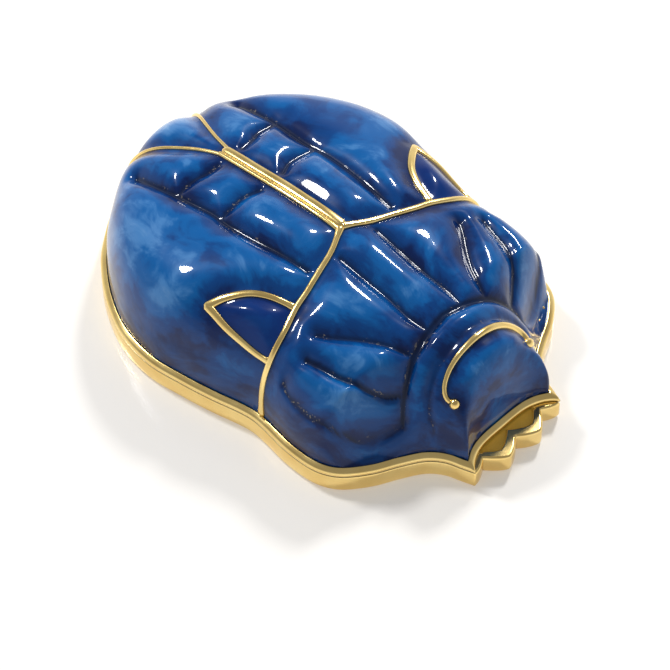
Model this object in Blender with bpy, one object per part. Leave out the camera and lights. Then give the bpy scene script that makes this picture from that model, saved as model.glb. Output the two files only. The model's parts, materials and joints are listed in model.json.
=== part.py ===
# Scarab amulet in two halves: a gold base tray and a lift-off domed cover with blue enamel in gold cells.
# Metres, +Z up. The underside lies on Z = 0, the head points to -Y, the origin is under the middle.
import bpy
import numpy as np
from mathutils import Vector
from mathutils.geometry import delaunay_2d_cdt

# Overall size
LENGTH = 0.060           # tips of the middle teeth to the rear
WIDTH = 0.0425           # across the wing cases
HEIGHT = 0.0175          # underside to the top of the back

# Base: a tray with a band, four teeth at the front and a collar that keeps the cover in place
BASE_HEIGHT = 0.0025     # top of the band
BASE_FLOOR = 0.0012      # thickness under the tray
BASE_CHAMFER = 0.0004    # lower edge of the band
TOOTH_HEIGHT = 0.0032    # top of the toothed wall
TOOTH_WALL = 0.0009      # thickness of the toothed wall
TOOTH_SPREAD = 0.00255   # middle to the tip of a middle tooth
NOTCH_DEPTH = 0.0014     # how far a notch goes in between two teeth
RECESS_FLOOR = 0.0013    # floor of the finger catch behind the middle teeth
TOOTH_WALL_WIDTH = 0.0106 # toothed wall that stands above the band, side to side
RECESS_WIDTH = 0.0088    # finger catch, side to side
RECESS_UNDERCUT = 0.0008 # how far the catch reaches in under the cover
COLLAR_WALL = 0.0009     # thickness of the locating collar
COLLAR_RISE = 0.0012     # collar above the band

# Cover: gold shell with a rim, cells and wires
SEAM_GAP = 0.0003        # open seam between the halves
RIM_HEIGHT = 0.0010      # seam to the edge of the enamel
RIM_WIDTH = 0.0011       # rim, seen from above
RIM_ROUND = 0.00025      # rounded outer edge of the rim
LIP_SETBACK = 0.0032     # middle of the cover's lip behind the tooth tips
SHELL = 0.0011           # gold under the cells
SUTURE_WIDTH = 0.0018    # band along the back
VEIN_WIDTH = 0.00045     # V lines behind the band
WAIST_WIRE = 0.0006      # cross wire at the waist
SHOULDER_WIRE = 0.00065  # upper borders of the shoulder triangles
FLANK_WIRE = 0.00035     # lower borders, which run on the steep flank, seen from above
ARC_WIRE = 0.0007        # arc on the head
BALL_SIZE = 0.0011       # balls at the ends of the arc
WIRE_PROUD = 0.00025     # wires above the plain dome
RIM_SLOPE = 0.6          # share of the rim's width that falls away to its outer edge
RIM_FALL = 0.5           # how far it falls, as a share of the rim's height

# Enamel fills
ENAMEL_THICKNESS = 0.0010
FIT_GAP = 0.0003         # between enamel and gold, and between collar and cover
PILLOW = 0.00120         # swell of a field between its edges
PILLOW_REACH = 0.0023    # how soon a field swells up from its edge
RIM_PULL = 2.0           # the swell rises sooner from the rim, by this factor
GROOVE_DEPTH = 0.00042   # carved lines below the field's edge
GROOVE_REACH = 0.00055   # half width of a carved line

# Mesh spacing
STEP = 0.0020            # between points along lines and inside fields
CLEARANCE = 0.45*STEP    # from a line to the nearest loose point
ROW_RATIO = 0.866        # height of a row of equal triangles to their side
CURVE_PARTS = 12         # pieces between two points of a rounded curve
LIP_POINTS = 13
TOOTH_PARTS = 8          # pieces from tip to tip
TURN_POINTS = 361        # directions round the middle, in which loops are found
INSET_STEPS = 121
BALL_SIDES = 10
TINY = 1e-6
RING_DEPTHS = (0.00012, 0.0007, 0.0022, 0.0046)  # rows of points up the flank, measured in plan

PILLOW_AT_CREST = 0.75   # share of the swell where the back is highest
SEAM_TOP = BASE_HEIGHT + SEAM_GAP
FIELD_Z = SEAM_TOP + RIM_HEIGHT
FIELD_INSET = RIM_WIDTH + FIT_GAP
CELL_DEPTH = ENAMEL_THICKNESS + FIT_GAP
CAVITY_DEPTH = CELL_DEPTH + SHELL
CREST = HEIGHT - PILLOW_AT_CREST*PILLOW - FIELD_Z
INSET_REACH = 0.28*WIDTH # deepest loop inside the outline

# Half outline from the outer tooth to the rear, as shares of half the width and of the length
SIDE_SHARES = [(0.330, 0.0195), (0.357, 0.0455), (0.389, 0.0764), (0.453, 0.104), (0.567, 0.1285),
               (0.700, 0.153), (0.823, 0.187), (0.883, 0.221), (0.906, 0.260), (0.906, 0.312),
               (0.888, 0.363), (0.882, 0.400), (0.898, 0.436), (0.935, 0.488), (0.972, 0.556),
               (1.000, 0.637), (0.965, 0.722), (0.870, 0.797), (0.746, 0.860), (0.594, 0.914),
               (0.321, 0.976), (0.0, 1.0)]

# Height of the back along the length, as shares of the crest above the rim
CREST_SHARES = [(0.0, 0.84), (0.065, 0.85), (0.133, 0.85), (0.216, 0.83), (0.325, 0.895), (0.420, 0.96),
                (0.485, 1.0), (0.585, 0.985), (0.70, 0.925), (0.80, 0.86), (0.92, 0.70), (1.0, 0.56)]
FLANK_REACH = 0.0056     # width of the rounded shoulder in plan
FLANK_POWER = 3.4        # how boxy the shoulder is
SIDE_SAG = 0.29          # fall from the back to the side, as a share of the crest
HEAD_SAG = 0.22          # extra fall at the sides of the head
SIDE_POWER = 1.5         # how late that fall comes
HEAD_POWER = 2.2
HEAD_HALF = 0.335        # half width of the head, as a share of half the width
HEAD_END = 0.14          # the head's own shape ends here along the length
THORAX_START = 0.24

# Gold lines on the right half, as shares of half the width and of the length
WAIST_LINE = [(0.0, 0.474), (0.14, 0.449), (0.28, 0.434), (0.41, 0.421), (0.51, 0.413), (0.64, 0.397),
              (0.76, 0.389), (0.835, 0.388)]
SUTURE_LINE = [(0.0, 0.474), (0.0, 0.787)]
VEIN_LINE = [(0.024, 0.775), (0.045, 0.805), (0.075, 0.838), (0.125, 0.880), (0.185, 0.925), (0.238, 0.964)]
SHOULDER_TOP = [(0.785, 0.545), (0.700, 0.525), (0.610, 0.496), (0.552, 0.460), (0.512, 0.414)]
SHOULDER_SIDE = [(0.785, 0.545), (0.800, 0.494), (0.792, 0.446), (0.775, 0.389)]
ARC_LINE = [(0.282, 0.092), (0.292, 0.108), (0.272, 0.121), (0.225, 0.129), (0.160, 0.133), (0.085, 0.134),
            (0.0, 0.134)]

# Carved lines on the right half: points, depth and width as factors of the plain groove
GROOVES = [
    ([(0.312, 0.452), (0.322, 0.485), (0.337, 0.530), (0.354, 0.585), (0.362, 0.640), (0.354, 0.690),
      (0.366, 0.740), (0.376, 0.790), (0.382, 0.840), (0.382, 0.885)], 1.0, 1.0),
    ([(0.085, 0.655), (0.170, 0.668), (0.260, 0.668), (0.356, 0.664)], 0.9, 0.9),
    ([(0.090, 0.766), (0.170, 0.770), (0.250, 0.778), (0.372, 0.776)], 0.9, 0.9),
    ([(0.138, 0.428), (0.134, 0.365), (0.130, 0.305), (0.136, 0.250), (0.124, 0.212)], 0.9, 0.9),
    ([(0.540, 0.350), (0.500, 0.328), (0.410, 0.288), (0.350, 0.256), (0.285, 0.206)], 0.9, 0.9),
    ([(0.670, 0.330), (0.645, 0.294), (0.625, 0.262), (0.580, 0.228), (0.505, 0.202), (0.425, 0.180)], 1.2, 1.0),
    ([(0.800, 0.345), (0.825, 0.317), (0.828, 0.262), (0.795, 0.227), (0.710, 0.203), (0.610, 0.183),
      (0.525, 0.167), (0.470, 0.157)], 0.9, 1.0),
    ([(0.470, 0.157), (0.420, 0.172), (0.356, 0.184), (0.282, 0.195), (0.199, 0.202), (0.122, 0.207),
      (0.0, 0.213)], 1.2, 1.1),
    ([(0.385, 0.106), (0.362, 0.127), (0.310, 0.141), (0.252, 0.149), (0.176, 0.154), (0.085, 0.156),
      (0.0, 0.157)], 1.3, 1.4),
]

GOLD = (0.83, 0.62, 0.24)
BLUE = (0.010, 0.060, 0.260)


def place(shares):
    """Points given as shares, in metres."""
    shares = np.array(shares, float)
    return np.column_stack([shares[:, 0]*WIDTH/2, (shares[:, 1] - 0.5)*LENGTH])


def snap(points):
    """Points rounded to a tenth of a micrometre, so that loops made in different ways share them."""
    return np.round(points, 7)


def mirrored(points):
    return points*[-1.0, 1.0]


def smooth_curve(points, step, closed_end=None):
    """Rounded curve through the points, resampled at about the step."""
    first = 2*points[0] - points[1]
    last = 2*points[-1] - points[-2] if closed_end is None else closed_end
    run = np.vstack([first, points, last])
    t = np.linspace(0, 1, CURVE_PARTS, endpoint=False)[:, None]
    pieces = []
    for a, b, c, d in zip(run[:-3], run[1:-2], run[2:-1], run[3:]):
        pieces.append(0.5*(2*b + (c - a)*t + (2*a - 5*b + 4*c - d)*t**2 + (3*b - a - 3*c + d)*t**3))
    dense = np.vstack(pieces + [points[-1:]])
    return resample(dense, step)


def resample(line, step):
    along = np.concatenate([[0.0], np.cumsum(np.hypot(*np.diff(line, axis=0).T))])
    count = max(2, int(round(along[-1]/step)) + 1)
    at = np.linspace(0, along[-1], count)
    return np.column_stack([np.interp(at, along, line[:, 0]), np.interp(at, along, line[:, 1])])


def side_curve():
    """Right side of the outline, from the outer tooth to the rear."""
    points = place(SIDE_SHARES)
    return smooth_curve(points, STEP, closed_end=points[-2]*[-1.0, 1.0])


def close_outline(front):
    """Closed outline: the front edge from left to right, then round the rear."""
    right = side_curve()
    left = mirrored(right[::-1][1:])
    return snap(np.vstack([front[:-1], right, left[:-1]]))


def lip_line(x):
    """Front edge of the cover: a hollow curve between the outer teeth."""
    corner = place(SIDE_SHARES[:1])[0]
    middle = -LENGTH/2 + LIP_SETBACK
    return middle + (corner[1] - middle)*np.abs(x/corner[0])**4


def lip_front():
    corner = place(SIDE_SHARES[:1])[0]
    x = np.linspace(-corner[0], corner[0], LIP_POINTS)
    return np.column_stack([x, lip_line(x)])


def tooth_front():
    """Front edge of the base over the four teeth."""
    corner = place(SIDE_SHARES[:1])[0]
    tips = [(-corner[0], corner[1]), (-TOOTH_SPREAD, -LENGTH/2), (TOOTH_SPREAD, -LENGTH/2), tuple(corner)]
    points = []
    for (x0, y0), (x1, y1) in zip(tips[:-1], tips[1:]):
        for s in np.linspace(0, 1, TOOTH_PARTS, endpoint=False):
            notch = NOTCH_DEPTH*(0.5 - 0.5*np.cos(2*np.pi*s))
            points.append((x0 + (x1 - x0)*s, y0 + (y1 - y0)*s + notch))
    points.append(tuple(corner))
    return np.array(points)


def tooth_back(front):
    """Back of the toothed wall, which keeps clear of the cover's lip."""
    y = np.minimum(front[:, 1] + TOOTH_WALL, lip_line(front[:, 0]) - FIT_GAP)
    return np.column_stack([front[:, 0], y])


def sharp_corners(ring):
    """Numbers of the points where a line turns sharply, which a coarser copy has to keep."""
    ahead = np.diff(ring, axis=0)
    bend = np.diff(np.unwrap(np.arctan2(ahead[:, 1], ahead[:, 0])))
    return [i + 1 for i in range(len(bend)) if abs(bend[i]) > 0.5]


class Inset:
    """Distances inside a closed outline, and loops that run inside it."""

    def __init__(self, outline):
        self.start = outline
        self.end = np.roll(outline, -1, axis=0)
        self.turn = np.linspace(-np.pi, np.pi, TURN_POINTS)
        way = np.column_stack([np.sin(self.turn), -np.cos(self.turn)])
        edge = self.end - self.start
        cross = way[:, :1]*edge[None, :, 1] - way[:, 1:]*edge[None, :, 0]
        cross = np.where(np.abs(cross) < 1e-15, 1e-15, cross)
        reach = (self.start[:, 0]*edge[:, 1] - self.start[:, 1]*edge[:, 0])/cross
        share = (self.start[:, 0]*way[:, 1:] - self.start[:, 1]*way[:, :1])/cross
        hit = (share > -1e-9) & (share < 1 + 1e-9) & (reach > 0)
        self.radius = np.where(hit, reach, 0).max(axis=1)
        self.steps = np.linspace(0, INSET_REACH, INSET_STEPS)
        length = np.maximum(self.radius[:, None] - self.steps, TINY)
        depth = self.distance(way[:, :1]*length, way[:, 1:]*length)
        self.depth = np.maximum.accumulate(depth, axis=1)

    def distance(self, x, y):
        x = np.asarray(x, float)
        y = np.asarray(y, float)
        best = np.full(x.shape, LENGTH)
        for (ax, ay), (bx, by) in zip(self.start, self.end):
            dx, dy = bx - ax, by - ay
            t = np.clip(((x - ax)*dx + (y - ay)*dy)/(dx*dx + dy*dy), 0, 1)
            best = np.minimum(best, np.hypot(x - ax - t*dx, y - ay - t*dy))
        return best

    def loop(self, inset, step):
        """Closed loop at a distance inside the outline."""
        back = np.array([np.interp(inset, row, self.steps) for row in self.depth])
        radius = self.radius - back
        ring = np.column_stack([np.sin(self.turn)*radius, -np.cos(self.turn)*radius])
        corners = [0] + sharp_corners(ring) + [len(ring) - 1]
        runs = [resample(ring[a:b + 1], step)[:-1] for a, b in zip(corners[:-1], corners[1:])]
        return np.vstack(runs)


cover_outline = close_outline(lip_front())
cover_inset = Inset(cover_outline)


def blend_line(knots, t):
    """Smooth curve of a value through its knots."""
    at, value = np.array(knots, float).T
    slope = np.gradient(value, at)
    t = np.clip(t, at[0], at[-1])
    i = np.clip(np.searchsorted(at, t) - 1, 0, len(at) - 2)
    width = at[i + 1] - at[i]
    q = (t - at[i])/width
    return ((2*q**3 - 3*q**2 + 1)*value[i] + (q**3 - 2*q**2 + q)*width*slope[i]
            + (3*q**2 - 2*q**3)*value[i + 1] + (q**3 - q**2)*width*slope[i + 1])


def dome(x, y, depth=0.0):
    """Height of the plain dome, or of the surface that lies a depth inside it."""
    v = y/LENGTH + 0.5
    u = np.abs(x)/(WIDTH/2)
    t = np.clip((cover_inset.distance(x, y) - FIELD_INSET - depth)/FLANK_REACH, 0, 1)
    head = np.clip((THORAX_START - v)/(THORAX_START - HEAD_END), 0, 1)
    head = head*head*(3 - 2*head)
    fall = SIDE_SAG*u**SIDE_POWER + HEAD_SAG*head*(u/HEAD_HALF)**HEAD_POWER
    rise = np.maximum(blend_line(CREST_SHARES, v) - fall, 0.0)*CREST
    return FIELD_Z - depth + rise*(1 - (1 - t)**FLANK_POWER)**(1/FLANK_POWER)


def line_distance(x, y, line):
    best = np.full(np.shape(x), LENGTH)
    for (ax, ay), (bx, by) in zip(line[:-1], line[1:]):
        dx, dy = bx - ax, by - ay
        t = np.clip(((x - ax)*dx + (y - ay)*dy)/(dx*dx + dy*dy), 0, 1)
        best = np.minimum(best, np.hypot(x - ax - t*dx, y - ay - t*dy))
    return best


def both_sides(shares, step=STEP):
    line = smooth_curve(place(shares), step)
    return [line, mirrored(line)]


def wires():
    """Middle lines of the gold wires with their widths."""
    found = [(smooth_curve(place(SUTURE_LINE), STEP), SUTURE_WIDTH)]
    for shares, width in ((WAIST_LINE, WAIST_WIRE), (VEIN_LINE, VEIN_WIDTH),
                          (SHOULDER_TOP, SHOULDER_WIRE), (SHOULDER_SIDE, FLANK_WIRE)):
        found += [(line, width) for line in both_sides(shares)]
    half = smooth_curve(place(ARC_LINE), STEP*0.7)
    found.append((np.vstack([half, mirrored(half[::-1][1:])]), ARC_WIRE))
    return found


wire_lines = wires()
groove_lines = [(line, depth, width) for shares, depth, width in GROOVES for line in both_sides(shares)]


def relief(x, y):
    """Swell of the enamel fields and the carved lines between them."""
    near = [(cover_inset.distance(x, y) - FIELD_INSET)*RIM_PULL]
    near += [line_distance(x, y, line) - width/2 for line, width in wire_lines]
    carved = np.zeros(np.shape(x))
    for line, depth, width in groove_lines:
        away = line_distance(x, y, line)
        near.append(away)
        carved = np.maximum(carved, depth*GROOVE_DEPTH*np.exp(-(away/(width*GROOVE_REACH))**2))
    closest = np.sum([np.maximum(d, TINY)**-4.0 for d in near], axis=0)**-0.25
    return PILLOW*(1 - np.exp(-(closest/PILLOW_REACH)**2)) - carved


def ribbon(line, width, extra=0.0):
    """Outline of a band with a middle line."""
    ahead = np.diff(line, axis=0)
    ahead /= np.hypot(ahead[:, 0], ahead[:, 1])[:, None]
    way = np.vstack([ahead[:1], ahead[:-1] + ahead[1:], ahead[-1:]])
    way /= np.hypot(way[:, 0], way[:, 1])[:, None]
    across = np.column_stack([-way[:, 1], way[:, 0]])*(width/2 + extra)
    middle = line.copy()
    middle[0] -= way[0]*(width/4 + extra)
    middle[-1] += way[-1]*(width/4 + extra)
    return np.vstack([middle - across, (middle + across)[::-1]])


def disc(centre, size, extra=0.0):
    turn = np.arange(BALL_SIDES)*2*np.pi/BALL_SIDES
    return centre + np.column_stack([np.cos(turn), np.sin(turn)])*(size/2 + extra)


def triangulate(areas, lines=(), points=()):
    """Triangles over the plan. Each one knows the areas that it lies in, by their numbers."""
    coords, edges, faces = [], [], []
    for area in areas:
        first = len(coords)
        coords += [Vector((1000*x, 1000*y)) for x, y in snap(area)]
        faces.append(list(range(first, first + len(area))))
    for line in lines:
        first = len(coords)
        coords += [Vector((1000*x, 1000*y)) for x, y in snap(line)]
        edges += [(i, i + 1) for i in range(first, len(coords) - 1)]
    coords += [Vector((1000*x, 1000*y)) for x, y in points]
    out = delaunay_2d_cdt(coords, edges, faces, 0, 1e-4)
    plan = snap(np.array([(p.x, p.y) for p in out[0]])/1000)
    return plan, [tuple(f) for f in out[2]], [frozenset(ids) for ids in out[5]]


def hex_points(step, keep):
    rows = int(LENGTH/(step*ROW_RATIO)) + 1
    columns = int(WIDTH/step) + 1
    grid = [((c - columns/2 + 0.5*(r % 2))*step, (r - rows/2)*step*ROW_RATIO)
            for r in range(rows + 1) for c in range(columns + 1)]
    grid = np.array(grid)
    return grid[keep(grid[:, 0], grid[:, 1])]


class Solid:
    """Closed mesh that is put together from faces over the plan."""

    def __init__(self):
        self.verts = []
        self.faces = []
        self.known = {}

    def vert(self, x, y, z):
        key = (round(x*1e8), round(y*1e8), round(z*1e8))
        if key not in self.known:
            self.known[key] = len(self.verts)
            self.verts.append((x, y, z))
        return self.known[key]

    def face(self, corners):
        ids = []
        for corner in corners:
            i = self.vert(*corner)
            if not ids or ids[-1] != i:
                ids.append(i)
        if ids[0] == ids[-1]:
            ids.pop()
        if len(ids) > 2:
            self.faces.append(ids)

    def terrace(self, plan, tris, level_of, heights, floor=None):
        """Faces at the height of their level, with upright walls where levels meet.

        The outer edge gets a wall down to the floor height, where one is given.
        """
        owner = {}
        used = {}
        for tri, level in zip(tris, level_of):
            if level is None:
                continue
            self.face([(*plan[i], heights[level][i]) for i in tri])
            for a, b in zip(tri, tri[1:] + tri[:1]):
                owner[(a, b)] = level
            for i in tri:
                used.setdefault(i, set()).add(heights[level][i])

        def climb(i, low, high):
            between = sorted(z for z in used[i] if low + 1e-9 < z < high - 1e-9)
            return [(*plan[i], z) for z in between]

        for (a, b), level in owner.items():
            other = owner.get((b, a))
            if other is None:
                if floor is None:
                    continue
                low_a, low_b = floor, floor
            elif other == level:
                continue
            else:
                low_a, low_b = heights[other][a], heights[other][b]
            high_a, high_b = heights[level][a], heights[level][b]
            if high_a + high_b <= low_a + low_b:
                continue
            wall = ([(*plan[a], low_a), (*plan[b], low_b)] + climb(b, low_b, high_b)
                    + [(*plan[b], high_b), (*plan[a], high_a)] + climb(a, low_a, high_a)[::-1])
            self.face(wall)

    def strip(self, lower, low_z, upper, high_z):
        """Band of faces between two loops with the same number of points."""
        count = len(lower)
        for i in range(count):
            j = (i + 1) % count
            self.face([(*lower[i], low_z[i]), (*lower[j], low_z[j]), (*upper[j], high_z[j])])
            self.face([(*lower[i], low_z[i]), (*upper[j], high_z[j]), (*upper[i], high_z[i])])

    def build(self, name, material):
        mesh = bpy.data.meshes.new(name)
        mesh.from_pydata(self.verts, [], self.faces)
        mesh.validate()
        mesh.update()
        mesh.materials.append(material)
        piece = bpy.data.objects.new(name, mesh)
        bpy.context.collection.objects.link(piece)
        return piece


def inward(loop, inset):
    """Loop moved inwards along its own normals, point by point."""
    way = np.roll(loop, -1, axis=0) - np.roll(loop, 1, axis=0)
    way /= np.hypot(way[:, 0], way[:, 1])[:, None]
    return snap(loop + np.column_stack([-way[:, 1], way[:, 0]])*inset)


def material(name, colour, metallic, roughness):
    made = bpy.data.materials.new(name)
    made.use_nodes = True
    shader = made.node_tree.nodes["Principled BSDF"]
    shader.inputs["Base Color"].default_value = (*colour, 1.0)
    shader.inputs["Metallic"].default_value = metallic
    shader.inputs["Roughness"].default_value = roughness
    return made


def enamel_rows():
    """Rows of points up the flank, as closed lines."""
    rows = []
    for depth in RING_DEPTHS:
        loop = cover_inset.loop(FIELD_INSET + depth, STEP)
        rows.append(np.vstack([loop, loop[:1]]))
    return rows


def clear_of(x, y, lines, gap):
    free = np.ones(np.shape(x), bool)
    for line in lines:
        free &= line_distance(x, y, line) > gap
    return free


def top_plan():
    """Plan of the cover's top: rim, wires, gaps and enamel fields."""
    edge = inward(cover_outline, RIM_ROUND)
    areas = [edge, cover_inset.loop(RIM_WIDTH, STEP), cover_inset.loop(FIELD_INSET, STEP)]
    arc = wire_lines[-1][0]
    bands = [ribbon(line, width) for line, width in wire_lines]
    bands += [disc(end, BALL_SIZE) for end in (arc[0], arc[-1])]
    margins = [ribbon(line, width, FIT_GAP) for line, width in wire_lines]
    margins += [disc(end, BALL_SIZE, FIT_GAP) for end in (arc[0], arc[-1])]
    gold_ids = set(range(3, 3 + len(bands)))
    margin_ids = set(range(3 + len(bands), 3 + 2*len(bands)))
    carved = [line for line, _, _ in groove_lines]
    rows = enamel_rows()
    lines = rows + carved
    guides = [line for line, _ in wire_lines] + lines
    points = hex_points(STEP, lambda x, y: (cover_inset.distance(x, y) > FIELD_INSET + RING_DEPTHS[-1])
                        & inside_outline(x, y) & clear_of(x, y, guides, CLEARANCE))
    plan, tris, tags = triangulate(areas + bands + margins, lines, points)
    kinds = []
    for tag in tags:
        if 0 not in tag:
            kinds.append(None)
        elif 1 not in tag or tag & gold_ids:
            kinds.append("gold")
        elif 2 not in tag or tag & margin_ids:
            kinds.append("cell")
        else:
            kinds.append("enamel")
    return edge, plan, tris, kinds


def inside_outline(x, y):
    turn = np.arctan2(x, -y)
    return np.hypot(x, y) < np.interp(turn, cover_inset.turn, cover_inset.radius)


FIELD_SEEDS = {
    "enamel_left_wing": (-0.60, 0.70), "enamel_right_wing": (0.60, 0.70),
    "enamel_left_shoulder": (-0.70, 0.45), "enamel_right_shoulder": (0.70, 0.45),
    "enamel_tail": (0.0, 0.90), "enamel_thorax_head": (0.30, 0.33),
}


def split_fields(plan, tris, kinds):
    """Triangles of each enamel field, found from a point inside it."""
    neighbours = {}
    for n, (tri, kind) in enumerate(zip(tris, kinds)):
        if kind == "enamel":
            for a, b in zip(tri, tri[1:] + tri[:1]):
                neighbours[(a, b)] = n
    centres = np.array([plan[list(tri)].mean(axis=0) for tri in tris])
    enamel = np.array([kind == "enamel" for kind in kinds])
    fields = {}
    for name, seed in FIELD_SEEDS.items():
        away = np.hypot(*(centres - place([seed])[0]).T)
        away[~enamel] = LENGTH
        stack = [int(away.argmin())]
        members = set(stack)
        while stack:
            tri = tris[stack.pop()]
            for a, b in zip(tri, tri[1:] + tri[:1]):
                n = neighbours.get((b, a))
                if n is not None and n not in members:
                    members.add(n)
                    stack.append(n)
        fields[name] = sorted(members)
    return fields


def rim_height(x, y, inset):
    """Gold surface: domed wires in the field, and a rounded edge along the rim."""
    edge = np.clip(1 - inset/(RIM_WIDTH*RIM_SLOPE), 0, 1)
    return dome(x, y) + WIRE_PROUD*np.clip(inset/RIM_WIDTH, 0, 1) - RIM_FALL*RIM_HEIGHT*edge**2


def mouth_loop():
    """Edge of the hollow inside the cover."""
    return snap(cover_inset.loop(FIELD_INSET + CAVITY_DEPTH, STEP))


def make_cover(edge, plan, tris, kinds, gold):
    solid = Solid()
    x, y = plan.T
    inset = cover_inset.distance(x, y)
    heights = {"gold": rim_height(x, y, inset), "cell": dome(x, y, CELL_DEPTH)}
    levels = [None if kind is None else "gold" if kind == "gold" else "cell" for kind in kinds]
    solid.terrace(plan, tris, levels, heights)

    below = rim_height(edge[:, 0], edge[:, 1], cover_inset.distance(edge[:, 0], edge[:, 1]))
    corner = np.full(len(edge), below.min() - RIM_ROUND)
    bottom = np.full(len(edge), SEAM_TOP)
    solid.strip(cover_outline, corner, edge, below)
    solid.strip(cover_outline, bottom, cover_outline, corner)

    mouth = mouth_loop()
    rows = [cover_inset.loop(FIELD_INSET + CAVITY_DEPTH + depth, STEP) for depth in RING_DEPTHS[1:]]
    lines = [np.vstack([row, row[:1]]) for row in rows]
    points = hex_points(2*STEP, lambda x, y: inside_outline(x, y) & clear_of(x, y, lines, STEP)
                        & (cover_inset.distance(x, y) > FIELD_INSET + CAVITY_DEPTH + RING_DEPTHS[-1]))
    low_plan, low_tris, tags = triangulate([cover_outline, mouth], lines, points)
    hollow = np.maximum(dome(*low_plan.T, CAVITY_DEPTH), SEAM_TOP)
    rim_points = {i for tri, tag in zip(low_tris, tags) if 1 not in tag for i in tri}
    hollow[list(rim_points)] = SEAM_TOP
    for tri, tag in zip(low_tris, tags):
        if 0 in tag:
            solid.face([(*low_plan[i], hollow[i]) for i in tri[::-1]])
    return solid.build("cover", gold)


def make_enamel(name, members, plan, tris, blue):
    solid = Solid()
    x, y = plan.T
    top = dome(x, y) + relief(x, y)
    bottom = dome(x, y, ENAMEL_THICKNESS)
    sides = set()
    for n in members:
        tri = tris[n]
        solid.face([(*plan[i], top[i]) for i in tri])
        solid.face([(*plan[i], bottom[i]) for i in tri[::-1]])
        for a, b in zip(tri, tri[1:] + tri[:1]):
            sides.add((a, b))
    for a, b in sorted(sides):
        if (b, a) not in sides:
            solid.face([(*plan[a], bottom[a]), (*plan[b], bottom[b]), (*plan[b], top[b])])
            solid.face([(*plan[a], bottom[a]), (*plan[b], top[b]), (*plan[a], top[a])])
    return solid.build(name, blue)


def make_base(gold):
    solid = Solid()
    front = tooth_front()
    outline = close_outline(front)
    wall_front = front[np.abs(front[:, 0]) < TOOTH_WALL_WIDTH/2]
    tooth_wall = np.vstack([wall_front, tooth_back(wall_front)[::-1]])
    catch_front = tooth_back(front[np.abs(front[:, 0]) < RECESS_WIDTH/2])
    catch_back = -LENGTH/2 + LIP_SETBACK + RECESS_UNDERCUT
    catch = np.vstack([catch_front, [[catch_front[-1, 0], catch_back], [catch_front[0, 0], catch_back]]])
    collar_out = inward(mouth_loop(), FIT_GAP)
    collar_in = cover_inset.loop(FIELD_INSET + CAVITY_DEPTH + FIT_GAP + COLLAR_WALL, STEP)
    plan, tris, tags = triangulate([outline, tooth_wall, catch, collar_out, collar_in])
    levels = []
    for tag in tags:
        if 0 not in tag:
            levels.append(None)
        elif 1 in tag:
            levels.append("teeth")
        elif 2 in tag:
            levels.append("catch")
        elif 4 in tag:
            levels.append("tray")
        elif 3 in tag:
            levels.append("collar")
        else:
            levels.append("ledge")
    tops = {"teeth": TOOTH_HEIGHT, "catch": RECESS_FLOOR, "tray": BASE_FLOOR,
            "collar": BASE_HEIGHT + COLLAR_RISE, "ledge": BASE_HEIGHT}
    heights = {name: np.full(len(plan), z) for name, z in tops.items()}
    solid.terrace(plan, tris, levels, heights, floor=BASE_CHAMFER)

    foot = inward(outline, BASE_CHAMFER)
    solid.strip(foot, np.zeros(len(foot)), outline, np.full(len(foot), BASE_CHAMFER))
    foot_plan, foot_tris, foot_tags = triangulate([foot])
    for tri, tag in zip(foot_tris, foot_tags):
        if 0 in tag:
            solid.face([(*foot_plan[i], 0.0) for i in tri[::-1]])
    return solid.build("base", gold)


def main():
    for old in list(bpy.data.objects):
        bpy.data.objects.remove(old)
    gold = material("gold", GOLD, 1.0, 0.25)
    blue = material("blue enamel", BLUE, 0.0, 0.08)
    edge, plan, tris, kinds = top_plan()
    fields = split_fields(plan, tris, kinds)
    make_base(gold)
    make_cover(edge, plan, tris, kinds, gold)
    for name, members in fields.items():
        make_enamel(name, members, plan, tris, blue)


main()
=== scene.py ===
# Scarab amulet box: gilded base tray and lift-off cover, blue enamel between gold wires, on a white table
import json
import math

import bmesh
import bpy
import numpy as np
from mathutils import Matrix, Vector
from mathutils.geometry import delaunay_2d_cdt

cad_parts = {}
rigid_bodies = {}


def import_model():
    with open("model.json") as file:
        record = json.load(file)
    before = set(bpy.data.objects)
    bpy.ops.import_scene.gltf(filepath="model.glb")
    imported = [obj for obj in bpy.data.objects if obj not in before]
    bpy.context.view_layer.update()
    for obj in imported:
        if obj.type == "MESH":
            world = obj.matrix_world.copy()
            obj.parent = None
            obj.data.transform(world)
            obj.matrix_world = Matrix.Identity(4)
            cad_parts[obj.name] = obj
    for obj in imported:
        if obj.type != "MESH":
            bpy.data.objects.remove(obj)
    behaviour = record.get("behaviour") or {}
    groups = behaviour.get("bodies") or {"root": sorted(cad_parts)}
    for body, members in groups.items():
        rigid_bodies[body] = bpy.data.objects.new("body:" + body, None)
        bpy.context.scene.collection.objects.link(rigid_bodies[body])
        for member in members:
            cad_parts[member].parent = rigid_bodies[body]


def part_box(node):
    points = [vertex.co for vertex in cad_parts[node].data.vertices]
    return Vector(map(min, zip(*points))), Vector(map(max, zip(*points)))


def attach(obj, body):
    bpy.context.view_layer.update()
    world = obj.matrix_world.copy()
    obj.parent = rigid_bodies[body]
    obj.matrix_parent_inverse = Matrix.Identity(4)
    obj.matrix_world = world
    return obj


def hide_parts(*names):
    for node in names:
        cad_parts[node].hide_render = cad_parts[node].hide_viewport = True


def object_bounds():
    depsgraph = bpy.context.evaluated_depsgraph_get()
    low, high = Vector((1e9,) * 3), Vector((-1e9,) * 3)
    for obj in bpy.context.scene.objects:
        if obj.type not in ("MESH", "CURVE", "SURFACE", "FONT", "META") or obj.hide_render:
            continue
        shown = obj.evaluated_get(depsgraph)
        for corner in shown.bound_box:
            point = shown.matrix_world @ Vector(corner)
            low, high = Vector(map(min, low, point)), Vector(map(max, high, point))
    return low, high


print("loading the frame")
for old in list(bpy.data.objects):
    bpy.data.objects.remove(old)
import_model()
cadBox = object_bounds()
lowCorner, highCorner = cadBox
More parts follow.
